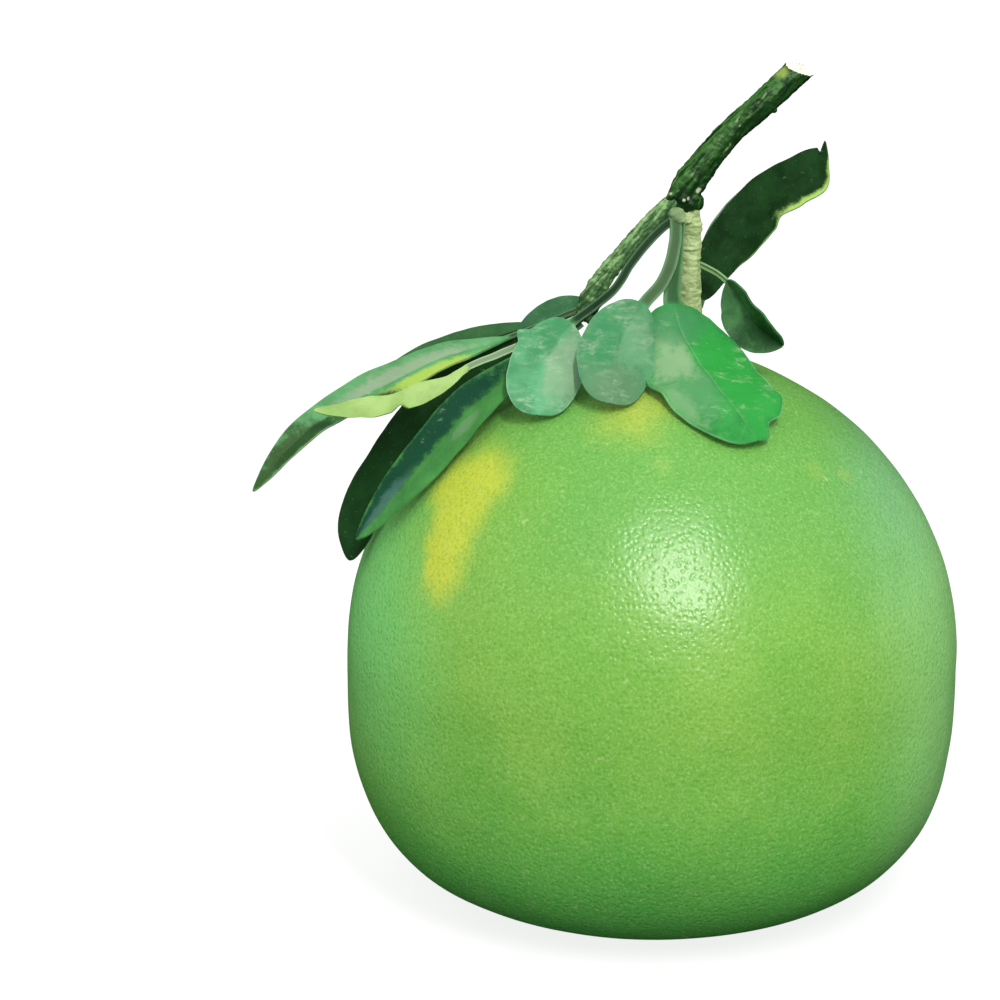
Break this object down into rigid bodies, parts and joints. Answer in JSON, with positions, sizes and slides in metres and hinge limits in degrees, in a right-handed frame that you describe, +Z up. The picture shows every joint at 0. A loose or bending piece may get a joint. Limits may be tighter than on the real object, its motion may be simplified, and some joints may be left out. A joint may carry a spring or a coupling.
{
  "type": "whole pomelo with twig and leaves",
  "caption": "Whole green pomelo resting on its flat blossom end, with its stalk, a slanting cut twig and leaves lying over the stem end.",
  "frame": {"origin": "centre of the flat face at the blossom end that the fruit rests on", "axes": "+Z up along the fruit's axis, +X towards the side that the cut twig leans to, -Y towards the front where the broad leaves lie"},
  "size_m": [0.1819, 0.159, 0.217],
  "materials": {
    "rind": "waxy green citrus rind with fine oil glands and yellow patches",
    "calyx_green": "dull green-brown sepals",
    "corky_stalk": "tan-green corky skin with rings",
    "green_bark": "dark green ridged bark with pale specks; pale wood at the cut",
    "rough_bark": "green ridged bark with rough scars",
    "leaf_front_right_green": "waxy leaf, bright green with a dusty bloom on its left half",
    "leaf_front_middle_green": "dusty grey-green leaf",
    "leaf_front_left_green": "dusty blue-green leaf",
    "leaf_small_dark_green": "dark green leaf",
    "leaf_long_green": "waxy green leaf with a yellow patch",
    "leaf_pale_green": "pale yellow-green underside of a turned leaf",
    "leaf_behind_green": "dark green leaf",
    "leaf_dark_low_green": "very dark, waxy green leaf",
    "leaf_shoulder_green": "waxy mid-green leaf with a bluish sheen",
    "leaf_tall_green": "dark green leaf with a yellow-green rim",
    "leaf_hanging_green": "dark green folded leaf"
  },
  "bodies": {
    "root": {"pomelo": "rind", "calyx": "calyx_green", "fruit_stalk": "corky_stalk", "main_twig": "green_bark", "side_twig": "rough_bark", "leaf_front_right": "leaf_front_right_green", "leaf_front_middle": "leaf_front_middle_green", "leaf_front_left": "leaf_front_left_green", "leaf_small_dark": "leaf_small_dark_green", "leaf_long": "leaf_long_green", "leaf_pale": "leaf_pale_green", "leaf_behind": "leaf_behind_green", "leaf_dark_low": "leaf_dark_low_green", "leaf_shoulder": "leaf_shoulder_green", "leaf_tall": "leaf_tall_green", "leaf_hanging": "leaf_hanging_green"}
  },
  "joints": []
}
